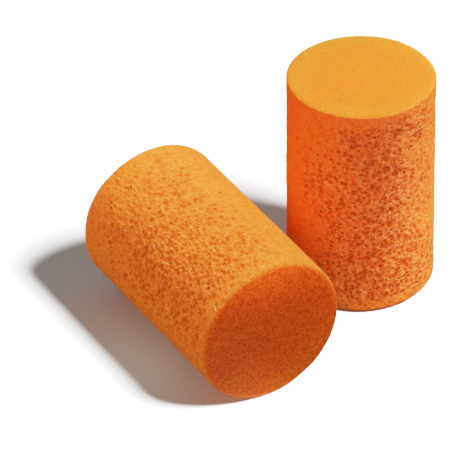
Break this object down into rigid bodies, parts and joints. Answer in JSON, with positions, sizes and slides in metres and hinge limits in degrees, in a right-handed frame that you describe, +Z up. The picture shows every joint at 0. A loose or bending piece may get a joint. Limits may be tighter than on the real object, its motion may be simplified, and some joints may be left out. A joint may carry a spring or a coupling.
{
  "type": "foam ear plugs",
  "caption": "Orange cylindrical foam ear plugs with a flat cut end and a rounder moulded end, rolled down and worn to block noise; shown standing and lying.",
  "frame": {"origin": "on the surface that the plugs rest on, under the middle of the pair's footprint", "axes": "+Z up, along the standing plug's axis towards its cut end; +X to the right, from the lying plug towards the standing one; +Y to the back"},
  "size_m": [0.0298, 0.0264, 0.02],
  "materials": {
    "standing_plug_foam": "matte",
    "lying_plug_foam": "matte"
  },
  "bodies": {
    "standing_plug": {"standing_plug": "standing_plug_foam"},
    "lying_plug": {"lying_plug": "lying_plug_foam"}
  },
  "joints": [
    {"name": "lying_plug_lift", "type": "slide", "parent": "standing_plug", "child": "lying_plug", "axis": [0, 0, 1], "range_m": [0, 0.03]}
  ]
}
